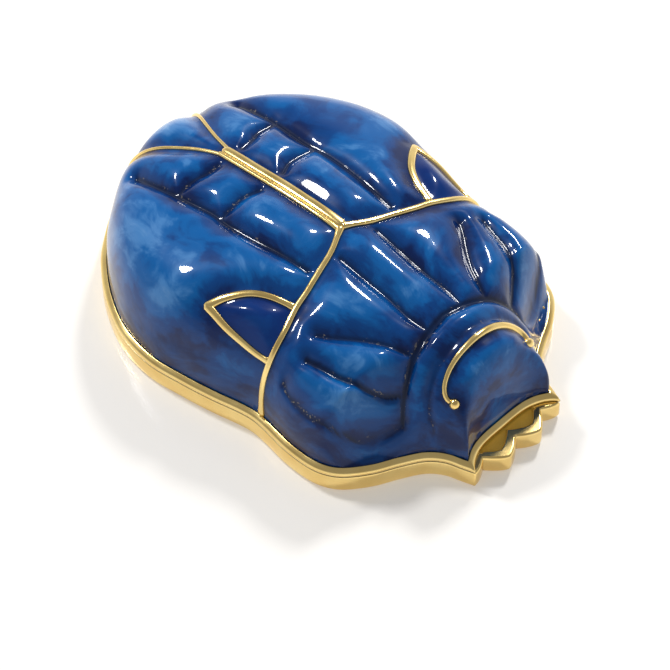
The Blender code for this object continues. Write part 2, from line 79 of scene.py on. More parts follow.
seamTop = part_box("cover")[0].z
mm = 0.001

# the whole piece, measured from the frame
body = {
    "length": highCorner.y - lowCorner.y,
    "width": highCorner.x - lowCorner.x,
    "seamTop": seamTop,            # underside of the cover
    "rimHeight": 0.8*mm,           # seam to the edge of the enamel
    "rimWidth": 0.80*mm,           # rim, seen from above
    "crest": 13.05*mm,             # top of the back above the rim
    "flankReach": 6.20*mm,         # width of the rounded flank in plan
    "flankPower": 3.0,             # how boxy the flank is
    "sideSag": 0.29,               # fall from the back to the sides, as a share of the crest
    "sideCurve": 1.5,              # how late the sides fall
    "headSag": 0.22,
    "headCurve": 2.2,
    "headHalf": 0.335,             # half the head, as a share of half the width
    "headEnd": 0.14,               # the head's own fall ends here along the length
    "thoraxStart": 0.24,
    "cornerBlend": 1.6,            # lower for rounder corners beside the lip
}
fieldZ = body["seamTop"] + body["rimHeight"]
tiny = 1e-6
hexRow = 0.866                     # height of a row of equal triangles, in sides

# half outline from the outer tooth to the rear, as shares of half the width and of the length
sideShares = [(0.330, 0.0195), (0.357, 0.0455), (0.389, 0.0764), (0.453, 0.104), (0.567, 0.1285),
              (0.700, 0.153), (0.823, 0.187), (0.883, 0.221), (0.906, 0.260), (0.906, 0.312),
              (0.888, 0.363), (0.882, 0.400), (0.898, 0.436), (0.935, 0.488), (0.972, 0.556),
              (1.000, 0.637), (0.965, 0.722), (0.870, 0.797), (0.746, 0.860), (0.594, 0.914),
              (0.321, 0.976), (0.0, 1.0)]
# height of the back along the length, as shares of the crest
crestShares = [(0.0, 0.84), (0.065, 0.85), (0.133, 0.85), (0.216, 0.83), (0.325, 0.895), (0.420, 0.96),
               (0.485, 1.0), (0.585, 0.985), (0.70, 0.925), (0.80, 0.86), (0.92, 0.70), (1.0, 0.56)]


def place(shares):
    shares = np.array(shares, float)
    return np.column_stack([shares[:, 0]*body["width"]/2, (shares[:, 1] - 0.5)*body["length"]])


def mirrored(points):
    return points*[-1.0, 1.0]


def snap(points):
    return np.round(points, 7)


def resample(line, step):
    along = np.concatenate([[0.0], np.cumsum(np.linalg.norm(np.diff(line, axis=0), axis=1))])
    count = max(2, int(round(along[-1]/step)) + 1)
    at = np.linspace(0, along[-1], count)
    return np.column_stack([np.interp(at, along, line[:, k]) for k in range(line.shape[1])])


curveParts = 24                    # pieces between two points of a rounded curve


def smoothCurve(points, step, beyond=None):
    first = 2*points[0] - points[1]
    last = 2*points[-1] - points[-2] if beyond is None else beyond
    run = np.vstack([first, points, last])
    t = np.linspace(0, 1, curveParts, endpoint=False)[:, None]
    pieces = []
    for a, b, c, d in zip(run[:-3], run[1:-2], run[2:-1], run[3:]):
        pieces.append(0.5*(2*b + (c - a)*t + (2*a - 5*b + 4*c - d)*t**2 + (3*b - a - 3*c + d)*t**3))
    return resample(np.vstack(pieces + [points[-1:]]), step)


def knotCurve(knots, t):
    at, value = np.array(knots, float).T
    slope = np.gradient(value, at)
    t = np.clip(t, at[0], at[-1])
    i = np.clip(np.searchsorted(at, t) - 1, 0, len(at) - 2)
    width = at[i + 1] - at[i]
    q = (t - at[i])/width
    return ((2*q**3 - 3*q**2 + 1)*value[i] + (q**3 - 2*q**2 + q)*width*slope[i]
            + (3*q**2 - 2*q**3)*value[i + 1] + (q**3 - q**2)*width*slope[i + 1])


def smoothStep(low, high, value):
    t = np.clip((value - low)/(high - low), 0, 1)
    return t*t*(3 - 2*t)


def segmentDistance(x, y, line):
    best = np.full(np.shape(x), 1.0)
    for (ax, ay), (bx, by) in zip(line[:-1], line[1:]):
        dx, dy = bx - ax, by - ay
        t = np.clip(((x - ax)*dx + (y - ay)*dy)/(dx*dx + dy*dy), 0, 1)
        np.minimum(best, (x - ax - t*dx)**2 + (y - ay - t*dy)**2, out=best)
    return np.sqrt(best)


# the outline of each half
teeth = {
    "spread": 2.55*mm,       # middle to the tip of a middle tooth
    "notch": 1.4*mm,         # how far a notch goes in
    "fullness": 1.6,         # how broad the teeth are beside the notches
    "lipSetback": 3.2*mm,    # middle of the cover's lip behind the tips
    "lipPower": 4,           # how square the lip's hollow curve is
    "lipPoints": 57,
}
toothCorner = place(sideShares[:1])[0]
outlineStep = 0.25*mm


def lipLine(x):
    middle = -body["length"]/2 + teeth["lipSetback"]
    return middle + (toothCorner[1] - middle)*np.abs(x/toothCorner[0])**teeth["lipPower"]


def closeOutline(front):
    points = place(sideShares)
    right = smoothCurve(points, outlineStep, beyond=points[-2]*[-1.0, 1.0])
    left = mirrored(right[::-1][1:])
    return snap(np.vstack([front[:-1], right, left[:-1]]))


def lipFront():
    x = np.linspace(-toothCorner[0], toothCorner[0], teeth["lipPoints"])
    return np.column_stack([x, lipLine(x)])


def toothFront(steps=24):
    x0, y0 = toothCorner
    tips = [(-x0, y0), (-teeth["spread"], -body["length"]/2), (teeth["spread"], -body["length"]/2), (x0, y0)]
    points = []
    for (ax, ay), (bx, by) in zip(tips[:-1], tips[1:]):
        for s in np.linspace(0, 1, steps, endpoint=False):
            dip = (1 - abs(2*s - 1))**teeth["fullness"]
            points.append((ax + (bx - ax)*s, ay + (by - ay)*s + teeth["notch"]*dip))
    return np.array(points + [(x0, y0)])


insets = {
    "turns": 1441,           # directions round the middle, in which loops are found
    "steps": 61,
    "deepest": 9*mm,
    "corner": 0.4,           # a sharper bend than this is kept as a corner
}


class Inset:
    # distances inside a closed outline, and loops that run inside it

    def __init__(self, outline):
        self.line = np.vstack([outline, outline[:1]])
        start, end = self.line[:-1], self.line[1:]
        self.turn = np.linspace(-np.pi, np.pi, insets["turns"])
        way = np.column_stack([np.sin(self.turn), -np.cos(self.turn)])
        edge = end - start
        cross = way[:, :1]*edge[None, :, 1] - way[:, 1:]*edge[None, :, 0]
        cross = np.where(np.abs(cross) < 1e-15, 1e-15, cross)
        reach = (start[:, 0]*edge[:, 1] - start[:, 1]*edge[:, 0])/cross
        share = (start[:, 0]*way[:, 1:] - start[:, 1]*way[:, :1])/cross
        hit = (share > -1e-9) & (share < 1 + 1e-9) & (reach > 0)
        self.radius = np.where(hit, reach, 0).max(axis=1)
        self.steps = np.linspace(0, insets["deepest"], insets["steps"])
        length = np.maximum(self.radius[:, None] - self.steps, tiny)
        depth = segmentDistance(way[:, :1]*length, way[:, 1:]*length, self.line)
        self.depth = np.maximum.accumulate(depth, axis=1)

    def distance(self, x, y):
        return segmentDistance(x, y, self.line)

    def loop(self, inset, step):
        back = np.array([np.interp(inset, row, self.steps) for row in self.depth])
        radius = self.radius - back
        ring = np.column_stack([np.sin(self.turn)*radius, -np.cos(self.turn)*radius])
        ahead = np.diff(ring, axis=0)
        bend = np.abs(np.diff(np.unwrap(np.arctan2(ahead[:, 1], ahead[:, 0]))))
        sharp = [i + 1 for i in range(len(bend)) if bend[i] > insets["corner"]]
        stops = [0] + sharp + [len(ring) - 1]
        return np.vstack([resample(ring[a:b + 1], step)[:-1] for a, b in zip(stops[:-1], stops[1:])])

    def inside(self, x, y):
        return np.hypot(x, y) < np.interp(np.arctan2(x, -y), self.turn, self.radius)


print("outlines")
coverOutline = closeOutline(lipFront())
baseOutline = closeOutline(toothFront())
coverInset = Inset(coverOutline)
lipEdge = coverInset.line[:teeth["lipPoints"]]
sideEdge = coverInset.line[teeth["lipPoints"] - 1:]


def softInset(x, y):
    # distance from the outline, rounded over where the sides and the lip meet
    power = body["cornerBlend"]
    toLip = np.maximum(segmentDistance(x, y, lipEdge) - body["rimWidth"], 0.1*tiny)
    toSide = np.maximum(segmentDistance(x, y, sideEdge) - body["rimWidth"], 0.1*tiny)
    return (toLip**-power + toSide**-power)**(-1/power)


def dome(x, y, depth=0.0):
    # height of the plain dome, or of the surface that lies a depth inside it
    v = y/body["length"] + 0.5
    u = np.abs(x)/(body["width"]/2)
    t = np.clip((softInset(x, y) - depth)/body["flankReach"], 0, 1)
    head = smoothStep(0, 1, (body["thoraxStart"] - v)/(body["thoraxStart"] - body["headEnd"]))
    fall = body["sideSag"]*u**body["sideCurve"]
    fall = fall + body["headSag"]*head*(u/body["headHalf"])**body["headCurve"]
    rise = np.maximum(knotCurve(crestShares, v) - fall, 0)*body["crest"]
    power = body["flankPower"]
    return fieldZ - depth + rise*(1 - (1 - t)**power)**(1/power)


# gold lines on the right half, as shares of half the width and of the length
wires = {
    "suture": [(0.0, 0.474), (0.0, 0.787)],
    "waist": [(0.0, 0.474), (0.14, 0.449), (0.28, 0.434), (0.41, 0.421), (0.51, 0.413), (0.64, 0.397),
              (0.76, 0.389), (0.835, 0.388)],
    "vein": [(0.024, 0.775), (0.045, 0.805), (0.075, 0.838), (0.125, 0.880), (0.185, 0.925), (0.238, 0.964)],
    "shoulderTop": [(0.785, 0.545), (0.700, 0.525), (0.610, 0.496), (0.552, 0.460), (0.512, 0.414)],
    "shoulderSide": [(0.785, 0.545), (0.800, 0.494), (0.792, 0.446), (0.775, 0.389)],
    "arc": [(0.282, 0.092), (0.292, 0.108), (0.272, 0.121), (0.225, 0.129), (0.160, 0.133), (0.085, 0.134),
            (0.0, 0.134)],
    "sutureWidth": 1.8*mm,
    # the band along the back is two ridges: width, height as a factor of proud, shift to the side
    "ridges": [(1.22*mm, 1.2, 0.29*mm), (0.62*mm, 0.9, -0.56*mm)],
    # width along a wire, as shares of its length and of its plain width
    "waistFlare": [(0, 1.5), (0.06, 1.0), (0.93, 1.0), (1.0, 1.5)],
    "topFlare": [(0, 1.3), (0.2, 1.1), (0.9, 0.9), (1, 1.1)],
    "sideFlare": [(0, 1.3), (0.2, 1.1), (0.9, 0.85), (1, 1.0)],
    "arcFlare": [(0, 1.15), (0.3, 1.15), (0.75, 0.8), (1, 0.7)],
    "waistWidth": 0.72*mm,
    "veinWidth": 0.46*mm,
    "shoulderWidth": 0.86*mm,
    "arcWidth": 0.80*mm,
    "ballSize": 1.25*mm,
    "proud": 0.30*mm,
    "veinProud": 0.24*mm,
    "arcProud": 0.39*mm,
    "sink": 0.25*mm,          # straight sides below the dome
    "roundness": 0.85,        # below 1 the top is flatter than a half circle
    "step": 0.22*mm,
    "apex": 0.38*mm,          # the shoulder wires cross by this much
}

# carved lines on the right half, and the swell of the fields between them
carving = {
    "depth": 0.36*mm,
    "reach": 0.60*mm,
    "pillow": 1.10*mm,        # swell of a field between its edges
    "pillowReach": 1.75*mm,
    "rimPull": 2.0,           # the swell rises sooner from the rim
    "blend": 3.0,             # lower for softer ridges between lines
    "slopeStep": 0.1*mm,
    "slopeCap": 6.0,          # steepest flank, squared, over which lines keep their width
    # depth and width of each line, as factors of the plain groove, stand after its points
    "lines": [
        ([(0.312, 0.452), (0.322, 0.485), (0.337, 0.530), (0.354, 0.585), (0.362, 0.640), (0.354, 0.690),
          (0.366, 0.740), (0.376, 0.790), (0.382, 0.840), (0.382, 0.885)], 1.0, 1.0),
        ([(0.085, 0.655), (0.170, 0.668), (0.260, 0.668), (0.356, 0.664)], 0.9, 0.9),
        ([(0.090, 0.766), (0.170, 0.770), (0.250, 0.778), (0.372, 0.776)], 0.9, 0.9),
        ([(0.138, 0.428), (0.134, 0.365), (0.130, 0.305), (0.136, 0.250), (0.124, 0.212)], 0.9, 0.9),
        ([(0.540, 0.350), (0.500, 0.328), (0.410, 0.288), (0.350, 0.256), (0.285, 0.206)], 0.9, 0.9),
        ([(0.670, 0.330), (0.645, 0.294), (0.625, 0.262), (0.580, 0.228), (0.505, 0.202),
          (0.425, 0.180)], 1.0, 1.0),
        ([(0.800, 0.345), (0.825, 0.317), (0.828, 0.262), (0.795, 0.227), (0.710, 0.203), (0.610, 0.183),
          (0.525, 0.167), (0.470, 0.157)], 0.9, 1.0),
        ([(0.470, 0.157), (0.420, 0.172), (0.356, 0.184), (0.282, 0.195), (0.199, 0.202), (0.122, 0.207),
          (0.0, 0.213)], 1.2, 1.1),
        ([(0.385, 0.106), (0.362, 0.127), (0.310, 0.141), (0.252, 0.149), (0.176, 0.154), (0.085, 0.156),
          (0.0, 0.157)], 0.65, 1.4),
    ],
}
lineStep = 0.4*mm


def bothSides(shares):
    line = smoothCurve(place(shares), lineStep)
    return [line, mirrored(line)]


sutureLine = smoothCurve(place(wires["suture"]), lineStep)
arcLine = smoothCurve(place(wires["arc"]), lineStep)
arcLine = np.vstack([arcLine, mirrored(arcLine[::-1][1:])])
goldLines = [(sutureLine, wires["sutureWidth"])]
for name, width in (("waist", "waistWidth"), ("vein", "veinWidth"), ("shoulderTop", "shoulderWidth"),
                    ("shoulderSide", "veinWidth")):
    goldLines += [(line, wires[width]) for line in bothSides(wires[name])]
goldLines.append((arcLine, wires["arcWidth"]))
carvedLines = []
for shares, depth, width in carving["lines"]:
    carvedLines += [(line, depth, width) for line in bothSides(shares)]


def domeSlope(x, y, h):
    slopeX = (dome(x + h, y) - dome(x - h, y))/(2*h)
    slopeY = (dome(x, y + h) - dome(x, y - h))/(2*h)
    return slopeX, slopeY


def relief(x, y):
    # swell of the enamel and its carved lines, then how deep in a line and how swollen a point is
    power = carving["blend"]
    near = [softInset(x, y)*carving["rimPull"]]
    near += [np.maximum(segmentDistance(x, y, line) - width/2, tiny) for line, width in goldLines]
    slopeX, slopeY = domeSlope(x, y, carving["slopeStep"])
    steep = np.sqrt(1 + np.minimum(slopeX**2 + slopeY**2, carving["slopeCap"]))
    carved = np.zeros(np.shape(x))
    for line, depth, width in carvedLines:
        away = segmentDistance(x, y, line)*steep
        near.append(away + tiny)
        carved = np.maximum(carved, depth*np.exp(-(away/(width*carving["reach"]))**2))
    closest = np.sum([d**-power for d in near], axis=0)**(-1/power)
    swell = 1 - np.exp(-(closest/carving["pillowReach"])**2)
    return carving["pillow"]*swell - carving["depth"]*carved, carved, swell


def triangulate(areas, lines=(), points=(), cuts=()):
    # triangles over the plan, the numbers of the areas that each lies in, and the edges along the cuts
    coords, edges, faces = [], [], []
    for area in areas:
        first = len(coords)
        coords += [Vector((x, y)) for x, y in snap(area)*1000]
        faces.append(list(range(first, first + len(area))))
    cutCount = sum(len(cut) - 1 for cut in cuts)
    for line in list(cuts) + list(lines):
        first = len(coords)
        coords += [Vector((x, y)) for x, y in snap(line)*1000]
        edges += [(i, i + 1) for i in range(first, len(coords) - 1)]
    coords += [Vector((x, y)) for x, y in np.asarray(points)*1000]
    out = delaunay_2d_cdt(coords, edges, faces, 0, 1e-4)
    plan = snap(np.array([(p.x, p.y) for p in out[0]])/1000)
    drawn = {tuple(sorted(pair)) for pair, ids in zip(out[1], out[4]) if any(i < cutCount for i in ids)}
    return plan, np.array([tuple(f) for f in out[2]]), [frozenset(ids) for ids in out[5]], drawn


def hexPoints(step, xLow, xHigh, yLow, yHigh):
    rows = int((yHigh - yLow)/(step*hexRow)) + 1
    columns = int((xHigh - xLow)/step) + 1
    r, c = np.meshgrid(np.arange(rows + 1), np.arange(columns + 1), indexing="ij")
    return np.column_stack([(xLow + (c + 0.5*(r % 2))*step).ravel(), (yLow + r*step*hexRow).ravel()])


def clearOf(x, y, lines, gap):
    free = np.ones(np.shape(x), bool)
    for line in lines:
        free &= segmentDistance(x, y, line) > gap
    return free


def meshObject(name, verts, faces, slot, material):
    mesh = bpy.data.meshes.new(name)
    mesh.from_pydata([tuple(v) for v in verts], [], [tuple(f) for f in faces])
    mesh.validate()
    mesh.update()
    mesh.shade_smooth()
    made = bpy.data.objects.new(name, mesh)
    bpy.context.collection.objects.link(made)
    mesh.materials.append(material)
    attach(made, "root")
    return made


def addLayer(piece, name, values):
    layer = piece.data.attributes.new(name, "FLOAT", "POINT")
    layer.data.foreach_set("value", np.asarray(values, np.float32))


# enamel: a field for each cell between the wires
enamel = {
    "step": 0.26*mm,
    "flankRows": 26,
    "flankHeight": 9*mm,      # for the spacing of the rows
    "rowReach": 3.6*mm,       # rows run this far in from the rim
    "thickness": 0.9*mm,
    "sink": 0.03*mm,
    "fields": {
        "leftWingEnamel": ((-0.60, 0.70), "enamel_left_wing"),
        "rightWingEnamel": ((0.60, 0.70), "enamel_right_wing"),
        "leftShoulderEnamel": ((-0.70, 0.45), "enamel_left_shoulder"),
        "rightShoulderEnamel": ((0.70, 0.45), "enamel_right_shoulder"),
        "tailEnamel": ((0.0, 0.90), "enamel_tail"),
        "thoraxHeadEnamel": ((0.30, 0.33), "enamel_thorax_head"),
    },
}


def flankInsets(count):
    # insets of rows that stand evenly up the flank
    angle = np.linspace(0, np.pi/2, 4000)
    t = 1 - np.cos(angle)**(2/body["flankPower"])
    z = np.sin(angle)**(2/body["flankPower"])
    pieces = np.hypot(np.diff(t*body["flankReach"]), np.diff(z*enamel["flankHeight"]))
    along = np.concatenate([[0.0], np.cumsum(pieces)])
    return np.interp(np.linspace(0, along[-1], count)[1:], along, t*body["flankReach"])


def stretched(line, atStart, atEnd):
    # the line with a straight piece added at its ends
    run = [line]
    if atStart:
        way = line[0] - line[1]
        run.insert(0, [line[0] + way/np.hypot(*way)*atStart])
    if atEnd:
        way = line[-1] - line[-2]
        run.append([line[-1] + way/np.hypot(*way)*atEnd])
    return np.vstack(run)


def cellCuts():
    # lines between the fields, longer than the wires so that they cross the rim or each other
    cuts = [sutureLine]
    for line in bothSides(wires["waist"]):
        cuts.append(stretched(line, 0, 4*mm))
    for line in bothSides(wires["vein"]):
        cuts.append(np.vstack([sutureLine[-1], stretched(line, 0, 3*mm)]))
    for line in bothSides(wires["shoulderTop"]) + bothSides(wires["shoulderSide"]):
        cuts.append(stretched(line, 0, 0.3*mm))
    return cuts


def floodFill(plan, tris, seed, walls):
    # the triangles that are reached from a seed without crossing a wall
    owner = {}
    for n, tri in enumerate(tris):
        a, b, c = (int(i) for i in tri)
        for pair in ((a, b), (b, c), (c, a)):
            if tuple(sorted(pair)) not in walls:
                owner[pair] = n
    centres = plan[tris].mean(axis=1)
    stack = [int(np.hypot(*(centres - place([seed])[0]).T).argmin())]
    members = set(stack)
    while stack:
        a, b, c = (int(i) for i in tris[stack.pop()])
        for pair in ((b, a), (c, b), (a, c)):
            n = owner.get(pair)
            if n is not None and n not in members:
                members.add(n)
                stack.append(n)
    return np.array(sorted(members))


def closedSheet(name, plan, tris, top, bottom, slot, material):
    # closed mesh between two heights over some triangles of the plan
    used, local = np.unique(tris, return_inverse=True)
    local = local.reshape(tris.shape)
    count = len(used)
    pairs = np.vstack([local[:, [0, 1]], local[:, [1, 2]], local[:, [2, 0]]])
    known = {tuple(p) for p in pairs.tolist()}
    rim = np.array([p for p in pairs.tolist() if (p[1], p[0]) not in known])
    verts = np.vstack([np.column_stack([plan[used], level[used]]) for level in (top, bottom)])
    faces = local.tolist() + (local[:, ::-1] + count).tolist()
    faces += np.column_stack([rim[:, 0] + count, rim[:, 1] + count, rim[:, 1], rim[:, 0]]).tolist()
    return meshObject(name, verts, faces, slot, material), used


def buildEnamel(material):
    step = enamel["step"]
    depths = flankInsets(enamel["flankRows"])
    depths = depths[depths < enamel["rowReach"]]
    rows = [coverInset.loop(body["rimWidth"] + depth, step) for depth in depths]
    rows = [np.vstack([row, row[:1]]) for row in rows]
    cuts = cellCuts()
    half = [body["width"]/2, body["length"]/2]
    points = hexPoints(step, -half[0], half[0], -half[1], half[1])
    points = points[coverInset.inside(*points.T)]
    points = points[coverInset.distance(*points.T) > body["rimWidth"] + depths[-1] + 0.5*step]
    points = points[clearOf(*points.T, cuts, 0.4*step)]
    plan, tris, tags, walls = triangulate([coverInset.loop(body["rimWidth"], step)], rows, points, cuts)
    tris = tris[[0 in tag for tag in tags]]
    x, y = plan.T
    raised, carved, swell = relief(x, y)
    top = dome(x, y) + raised - enamel["sink"]
    bottom = np.minimum(dome(x, y, enamel["thickness"]), top - enamel["sink"])
    for name, (seed, node) in enamel["fields"].items():
        members = tris[floodFill(plan, tris, seed, walls)]
        piece, used = closedSheet(name, plan, members, top, bottom, "blue enamel", material)
        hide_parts(node)
        for layer, values in (("carved", carved), ("swell", swell)):
            addLayer(piece, layer, np.tile(values[used], 2))
        addLayer(piece, "deep", np.full(len(piece.data.vertices), float("Shoulder" in name)))
        print("  ", name, len(piece.data.polygons), "faces")


# gold wires: rounded lines that lie on the dome
def surfaceLine(line, step, fine=0.03*mm):
    dense = resample(line, fine)
    return resample(np.column_stack([dense, dome(*dense.T)]), step)


def surfaceNormal(points, reach=0.04*mm):
    slopeX, slopeY = domeSlope(points[:, 0], points[:, 1], reach)
    normal = np.column_stack([-slopeX, -slopeY, np.ones(len(points))])
    return normal/np.linalg.norm(normal, axis=1)[:, None]


def roundSection(width, height, sides=14):
    # full rounded top on straight sides that go down into the cell
    angle = np.linspace(0, np.pi, sides)
    power, sink = wires["roundness"], wires["sink"]
    across = np.sign(np.cos(angle))*np.abs(np.cos(angle))**power*width/2
    up = np.sin(angle)**power*height
    return np.vstack([[width/2, -sink], np.column_stack([across, up]), [-width/2, -sink]])


def sweepWire(line, width, height, flare=None, shift=0.0):
    # verts and faces of a wire with rounded ends
    step = wires["step"]
    points = surfaceLine(line, step)
    normal = surfaceNormal(points)
    ahead = np.gradient(points, axis=0)
    ahead /= np.linalg.norm(ahead, axis=1)[:, None]
    side = np.cross(ahead, normal)
    side /= np.linalg.norm(side, axis=1)[:, None]
    up = np.cross(side, ahead)
    section = roundSection(width, height)
    share = np.linspace(0, 1, len(points))
    scale = np.ones(len(points)) if flare is None else np.interp(share, *np.array(flare).T)
    length = step*(len(points) - 1)
    for distance in (share*length, (1 - share)*length):
        fromEnd = np.clip(distance/(width/2), 0, 1)
        scale = scale*np.sqrt(np.clip(1 - (1 - fromEnd)**2, 0.02, 1))
    scale = scale[:, None, None]
    across, lift = section[None, :, :1], section[None, :, 1:]
    rings = (points[:, None, :] + side[:, None, :]*(across*scale + shift)
             + up[:, None, :]*lift*np.where(lift > 0, scale**0.7, 1))
    count = len(section)
    verts = rings.reshape(-1, 3)
    faces = []
    for i in range(len(points) - 1):
        for j in range(count):
            k = (j + 1) % count
            faces.append((i*count + j, i*count + k, (i + 1)*count + k, (i + 1)*count + j))
    faces.append(tuple(range(count))[::-1])
    faces.append(tuple(range((len(points) - 1)*count, len(points)*count)))
    return verts, faces


def joinMeshes(parts):
    verts, faces, offset = [], [], 0
    for someVerts, someFaces in parts:
        verts.append(np.asarray(someVerts))
        faces += [tuple(i + offset for i in face) for face in someFaces]
        offset += len(someVerts)
    return np.vstack(verts), faces


def ball(centre, size, sides=20):
    verts, faces = [], []
    for i in range(sides//2 + 1):
        for j in range(sides):
            a, b = math.pi*i/(sides//2), 2*math.pi*j/sides
            way = np.array([math.sin(a)*math.cos(b), math.sin(a)*math.sin(b), math.cos(a)])
            verts.append(centre + way*size/2)
    for i in range(sides//2):
        for j in range(sides):
            k = (j + 1) % sides
            faces.append((i*sides + j, (i + 1)*sides + j, (i + 1)*sides + k, i*sides + k))
    return np.array(verts), faces


def buildWires(material):
    proud, width = wires["proud"], wires["shoulderWidth"]
    suture = stretched(sutureLine, 0.3*mm, 0.2*mm)
    parts = [sweepWire(suture, wide, proud*lift, shift=shift) for wide, lift, shift in wires["ridges"]]
    for line in bothSides(wires["waist"]):
        parts.append(sweepWire(stretched(line, 0, 0.5*mm), wires["waistWidth"], proud, wires["waistFlare"]))
    for line in bothSides(wires["vein"]):
        parts.append(sweepWire(stretched(line, 0.3*mm, 0.5*mm), wires["veinWidth"], wires["veinProud"]))
    for border, flare in (("shoulderTop", "topFlare"), ("shoulderSide", "sideFlare")):
        for line in bothSides(wires[border]):
            parts.append(sweepWire(stretched(line, wires["apex"], 0), width, proud, wires[flare]))
    parts.append(sweepWire(arcLine, wires["arcWidth"], wires["arcProud"], wires["arcFlare"]))
    for end in (arcLine[0], arcLine[-1]):
        parts.append(ball(np.array([*end, dome(*end[:, None])[0]]), wires["ballSize"]))
    made = meshObject("goldWires", *joinMeshes(parts), slot="gold", material=material)
    print("   goldWires", len(made.data.polygons), "faces")


# the cover's gold: rim round the edge, cell floor and hollow underside
rim = {
    # inset from the outline and height over the seam in mm, from the outer edge to the enamel
    "profile": [(0.0, 0.30), (0.02, 0.40), (0.06, 0.49), (0.13, 0.57), (0.24, 0.65), (0.38, 0.72),
                (0.52, 0.78), (0.62, 0.83), (0.70, 0.85), (0.77, 0.81), (0.85, 0.55)],
    "lowerEdge": 0.08*mm,
    "cellDepth": 1.2*mm,
    "hollowDepth": 2.4*mm,
    "step": 0.4*mm,
    "coarseStep": 1.2*mm,
    "clear": 0.8*mm,          # loose points stand this far from the rows
    "mouthClear": 0.5*mm,
}


def atHeight(loop, z):
    return np.column_stack([loop, np.full(len(loop), z)])


def coarsePoints(step, yLow):
    # loose points in a box a little smaller than the outline's
    return hexPoints(step, -20*mm, 20*mm, yLow, 28*mm)


def strip(lower, lowZ, upper, highZ):
    # faces between two loops with the same number of points
    count = len(lower)
    verts = np.vstack([atHeight(lower, lowZ), atHeight(upper, highZ)])
    return verts, [(i, (i + 1) % count, (i + 1) % count + count, i + count) for i in range(count)]


def inward(loop, inset):
    # the same points, moved in from the outline
    way = np.roll(loop, -1, axis=0) - np.roll(loop, 1, axis=0)
    way /= np.hypot(way[:, 0], way[:, 1])[:, None]
    return snap(loop + np.column_stack([-way[:, 1], way[:, 0]])*inset)


def weld(piece, distance=1e-6):
    mesh = bmesh.new()
    mesh.from_mesh(piece.data)
    bmesh.ops.remove_doubles(mesh, verts=mesh.verts, dist=distance)
    mesh.to_mesh(piece.data)
    mesh.free()


def buildCover(material):
    step = rim["step"]
    seam = body["seamTop"]
    profile = np.array(rim["profile"])*mm
    rows = []
    for inset in profile[1:, 0]:
        row = coverInset.loop(inset, step)
        rows.append(np.vstack([row, row[:1]]))
    points = coarsePoints(rim["coarseStep"], -28*mm)
    points = points[coverInset.inside(*points.T)]
    points = points[coverInset.distance(*points.T) > profile[-1, 0] + rim["clear"]]
    plan, tris, tags, _ = triangulate([coverOutline], rows, points)
    tris = tris[[0 in tag for tag in tags]]
    x, y = plan.T
    inset = coverInset.distance(x, y)
    edge = seam + np.interp(inset, *profile.T)
    floor = dome(x, y, rim["cellDepth"])
    top = np.where(inset < profile[-1, 0] + 10*tiny, edge, floor)
    parts = [(np.column_stack([plan, top]), tris.tolist())]
    low = rim["lowerEdge"]
    parts.append(strip(coverOutline, seam + low, coverOutline, seam + profile[0, 1]))
    inner = inward(coverOutline, low)
    parts.append(strip(inner, seam, coverOutline, seam + low))
    mouthInset = body["rimWidth"] + rim["hollowDepth"]
    mouth = coverInset.loop(mouthInset, step)
    points = points[coverInset.distance(*points.T) > mouthInset + rim["mouthClear"]]
    lowPlan, lowTris, tags, _ = triangulate([inner, mouth], (), points)
    lowTris = lowTris[[0 in tag for tag in tags]]
    depth = coverInset.distance(*lowPlan.T)
    ceiling = np.maximum(dome(*lowPlan.T, rim["hollowDepth"]), seam)
    hollow = np.where(depth > mouthInset + 10*tiny, ceiling, seam)
    parts.append((np.column_stack([lowPlan, hollow]), lowTris[:, ::-1].tolist()))
    made = meshObject("gildedCover", *joinMeshes(parts), slot="gold", material=material)
    weld(made)
    # painted shade: the cover's underside at the seam's height is darkened through the seam layer
    addLayer(made, "seam", [float(vert.co.z < seam + tiny) for vert in made.data.vertices])
    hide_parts("cover")
    print("   gildedCover", len(made.data.polygons), "faces")


# the base: a tray with a rounded band, flat-topped teeth, the finger catch and the locating collar
tray = {
    "bandTop": 2.5*mm,
    "floor": 1.2*mm,
    # inset and height of the band's side in mm, from the underside up
    "profile": [(0.55, 0.0), (0.30, 0.03), (0.13, 0.12), (0.04, 0.28), (0.0, 0.50), (0.0, 1.2),
                (0.01, 2.15), (0.05, 2.33), (0.09, 2.40), (0.15, 2.455), (0.26, 2.50)],
    "toothParts": 40,
    "toothTop": 2.5*mm,
    "toothDepth": 1.4*mm,     # front to back, unless the lip is nearer
    "teethWidth": 10.6*mm,
    "lipGap": 0.3*mm,
    "catchFloor": 2.25*mm,
    "catchWidth": 8.8*mm,
    "undercut": 0.8*mm,       # the catch reaches in under the lip
    "shadeBelow": 0.105*mm,    # painted shade of the seam's gap starts this far under the band's top
    "collarTop": 3.7*mm,
    "collarInset": 4.1*mm,
    "collarWall": 0.9*mm,
    "soften": 0.12*mm,        # width of the steps between levels
    "collarStep": 0.5*mm,
    "fineStep": 0.10*mm,
    "coarseStep": 1.2*mm,
    "clear": 0.05*mm,
    "catchSlack": 0.1*mm,     # the catch's matt gold, lightened as painted light, starts this far out and down
    "catchLow": 0.6*mm,
    "shadeClear": 0.2*mm,      # no painted seam shade this near to the catch
}


def signedInside(x, y, loop):
    # distance inside a closed loop, negative outside
    line = np.vstack([loop, loop[:1]])
    inside = np.zeros(np.shape(x), bool)
    for (ax, ay), (bx, by) in zip(line[:-1], line[1:]):
        crossing = (ay > y) != (by > y)
        inside ^= crossing & (x < (bx - ax)*(y - ay)/np.where(by == ay, 1e-12, by - ay) + ax)
    away = segmentDistance(x, y, line)
    return np.where(inside, away, -away)


def toothBack(front):
    return np.column_stack([front[:, 0], np.minimum(front[:, 1] + tray["toothDepth"],
                                                    lipLine(front[:, 0]) - tray["lipGap"])])


def nearMiddle(line, width):
    return line[np.abs(line[:, 0]) < width/2]


